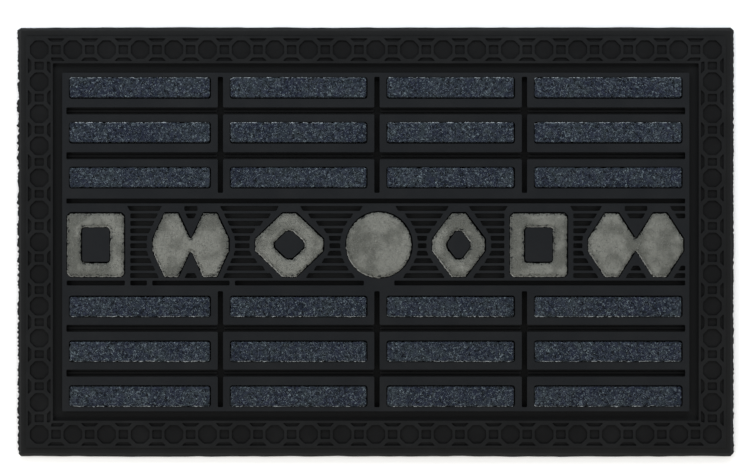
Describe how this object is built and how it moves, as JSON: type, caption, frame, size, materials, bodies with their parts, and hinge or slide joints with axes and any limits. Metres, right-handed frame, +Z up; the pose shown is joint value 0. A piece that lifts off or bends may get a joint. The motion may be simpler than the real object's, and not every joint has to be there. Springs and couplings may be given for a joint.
{
  "type": "door mat",
  "caption": "Rectangular moulded rubber door mat with rows of blue felt panels, scraper grooves, a beaded border and a band of grey felt shapes across the middle.",
  "frame": {"origin": "middle of the mat's underside, on the floor", "axes": "+X along the mat's 750 mm length, +Y across its 450 mm width, +Z up through the felt"},
  "size_m": [0.75, 0.45, 0.0097],
  "materials": {
    "rubber": "matt black moulded rubber",
    "blue_felt": "mottled dark blue needle felt",
    "grey_felt": "pale grey needle felt"
  },
  "bodies": {
    "root": {"rubber_base": "rubber", "felt_panel_row1_col1": "blue_felt", "felt_panel_row1_col2": "blue_felt", "felt_panel_row1_col3": "blue_felt", "felt_panel_row1_col4": "blue_felt", "felt_panel_row2_col1": "blue_felt", "felt_panel_row2_col2": "blue_felt", "felt_panel_row2_col3": "blue_felt", "felt_panel_row2_col4": "blue_felt", "felt_panel_row3_col1": "blue_felt", "felt_panel_row3_col2": "blue_felt", "felt_panel_row3_col3": "blue_felt", "felt_panel_row3_col4": "blue_felt", "felt_panel_row4_col1": "blue_felt", "felt_panel_row4_col2": "blue_felt", "felt_panel_row4_col3": "blue_felt", "felt_panel_row4_col4": "blue_felt", "felt_panel_row5_col1": "blue_felt", "felt_panel_row5_col2": "blue_felt", "felt_panel_row5_col3": "blue_felt", "felt_panel_row5_col4": "blue_felt", "felt_panel_row6_col1": "blue_felt", "felt_panel_row6_col2": "blue_felt", "felt_panel_row6_col3": "blue_felt", "felt_panel_row6_col4": "blue_felt", "motif_1_square_ring": "grey_felt", "motif_2_twin_lozenge": "grey_felt", "motif_3_lozenge_ring": "grey_felt", "motif_4_disc": "grey_felt", "motif_5_lozenge_ring": "grey_felt", "motif_6_square_ring": "grey_felt", "motif_7_twin_lozenge": "grey_felt"}
  },
  "joints": []
}
